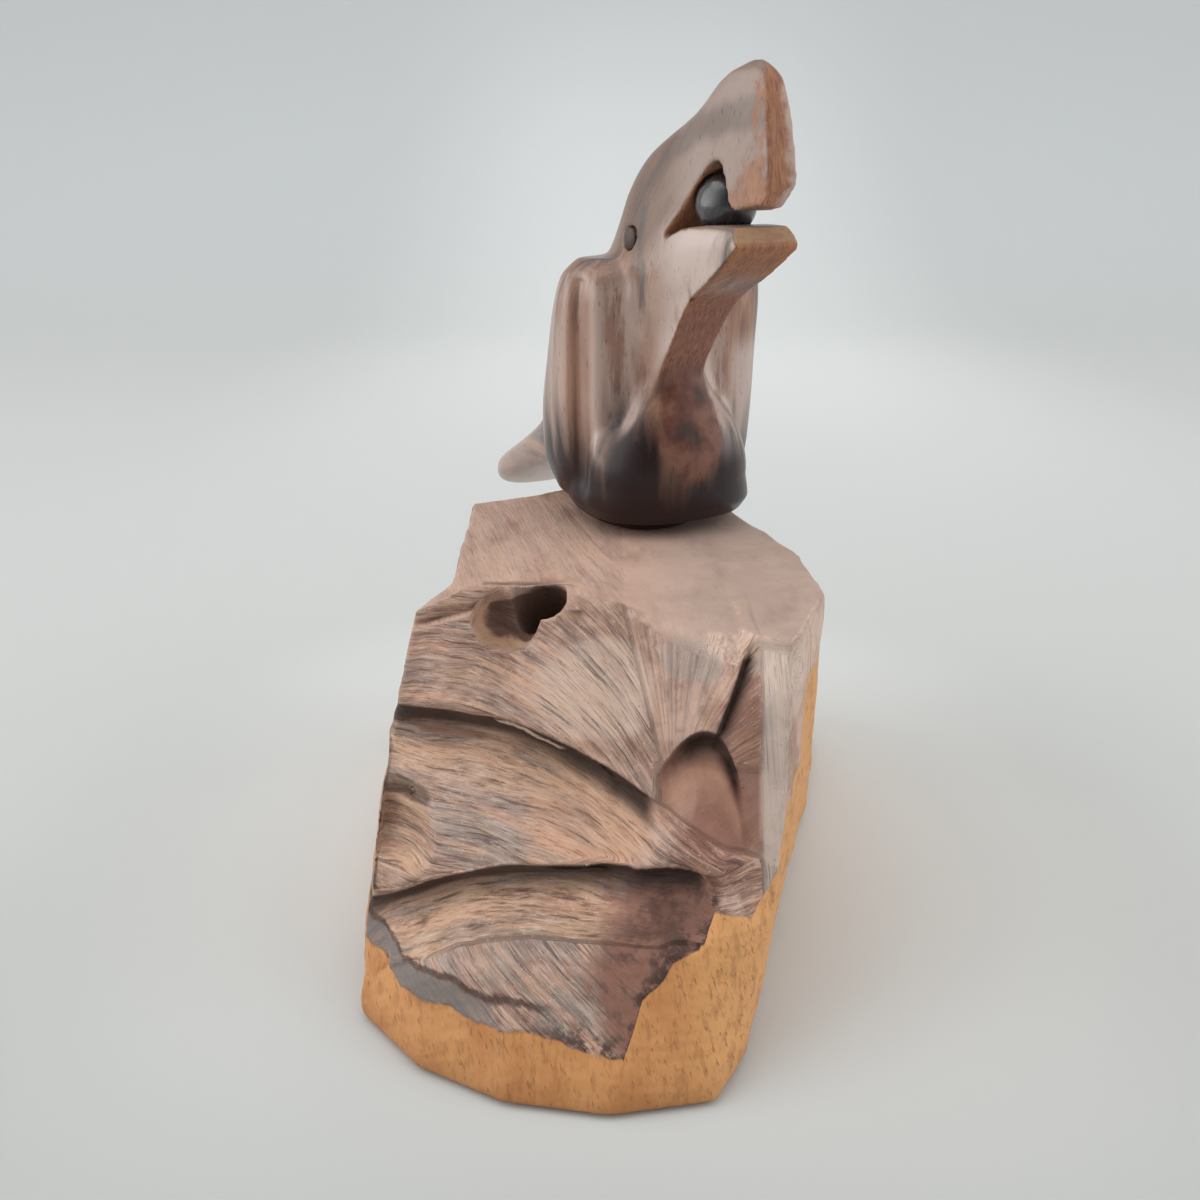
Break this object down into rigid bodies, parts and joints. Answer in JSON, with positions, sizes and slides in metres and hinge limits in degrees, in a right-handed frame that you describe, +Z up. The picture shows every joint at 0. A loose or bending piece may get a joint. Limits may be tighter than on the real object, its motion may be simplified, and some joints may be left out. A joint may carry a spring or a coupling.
{
  "type": "carved wooden toucan figurine",
  "caption": "Carved hardwood toucan with a loose ball captive in its open bill, pegged to a rough-hewn wooden block that stands on a flat underside.",
  "frame": {"origin": "middle of the base's flat underside", "axes": "+Z up, -Y towards the base's chiselled front end, +X to the right seen from that front; the bird looks towards -Y and a little to +X"},
  "size_m": [0.0841, 0.1367, 0.1273],
  "materials": {
    "rough_heartwood": "rasped and chiselled, unpolished, with pale sapwood at the edges",
    "polished_heartwood": "sanded smooth and waxed, semi-gloss, with dark streaks",
    "ball_wood": "turned smooth, nearly black, glossy",
    "eye_wood": "dark domed plug, semi-gloss",
    "peg_wood": "plain dowel, hidden"
  },
  "bodies": {
    "carving": {"base": "rough_heartwood", "toucan": "polished_heartwood", "eye_left": "eye_wood", "eye_right": "eye_wood", "front_peg": "peg_wood", "rear_peg": "peg_wood"},
    "ball": {"beak_ball": "ball_wood"}
  },
  "joints": [
    {"name": "ball_roll", "type": "hinge", "parent": "carving", "child": "ball", "pos_m": [0.01703, 0.00668, 0.10769], "axis": [0.8829, 0.4695, 0], "continuous": true}
  ]
}
